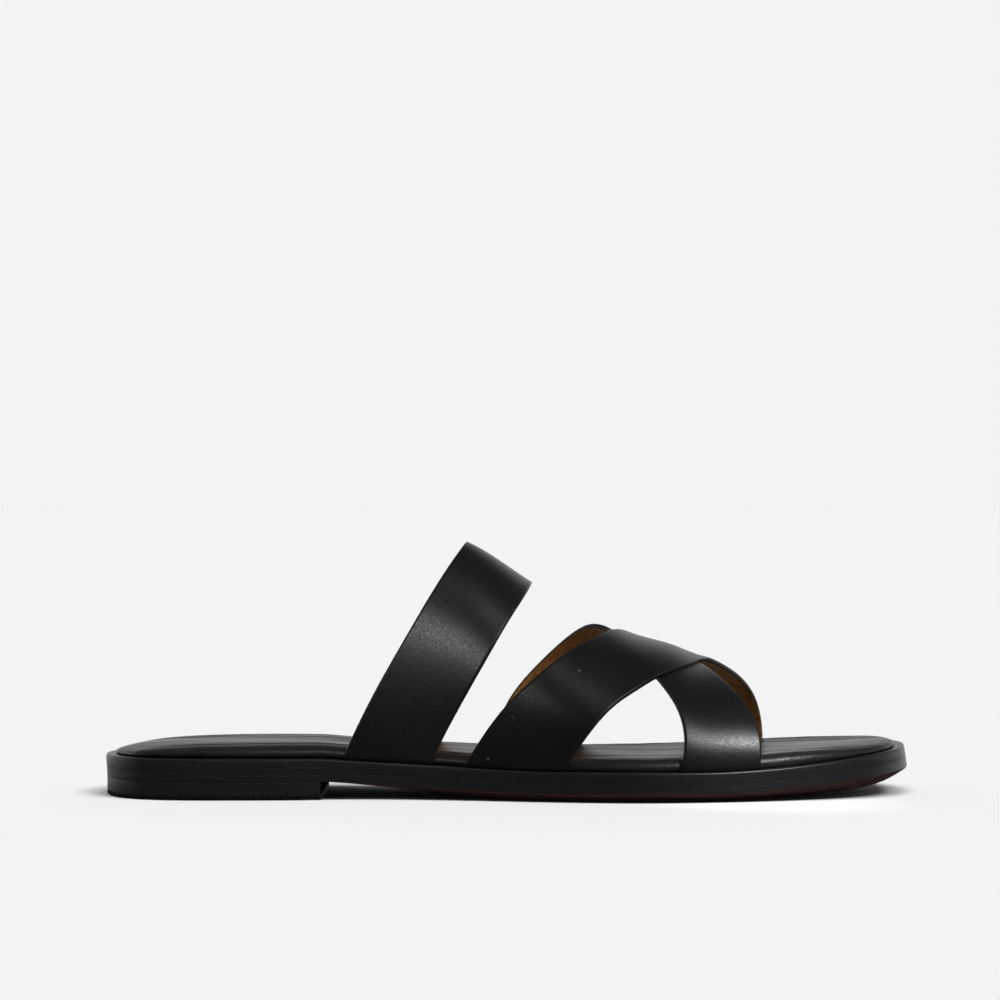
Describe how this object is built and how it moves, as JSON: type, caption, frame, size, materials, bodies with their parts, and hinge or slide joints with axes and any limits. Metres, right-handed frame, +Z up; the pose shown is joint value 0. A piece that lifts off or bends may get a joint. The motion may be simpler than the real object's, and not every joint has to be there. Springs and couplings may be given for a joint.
{
  "type": "slide sandal",
  "caption": "Flat leather slide sandal, right foot: instep strap, crossing toe straps, padded footbed, low stacked heel with a wheeled rubber top lift.",
  "frame": {"origin": "on the floor under the middle of the sole's length and width", "axes": "+X points to the toe, +Y to the inner side of the foot, +Z up"},
  "size_m": [0.2549, 0.0911, 0.0795],
  "materials": {
    "strap_leather": "smooth fine-grained black leather, satin, with a tan leather lining",
    "footbed_leather": "thin black leather over a padded board, fine creases, satin",
    "edge_black": "edge-painted black, burnished, semi-gloss",
    "sole_leather": "red-brown sole leather, black on its wall, satin",
    "heel_stack": "stacked leather, black, burnished",
    "lift_rubber": "black rubber, matt, wheeled edge"
  },
  "bodies": {
    "root": {"footbed": "footbed_leather", "midsole": "edge_black", "outsole": "sole_leather", "heel": "heel_stack", "heel_top_lift": "lift_rubber", "instep_strap": "strap_leather", "cross_straps": "strap_leather"}
  },
  "joints": []
}
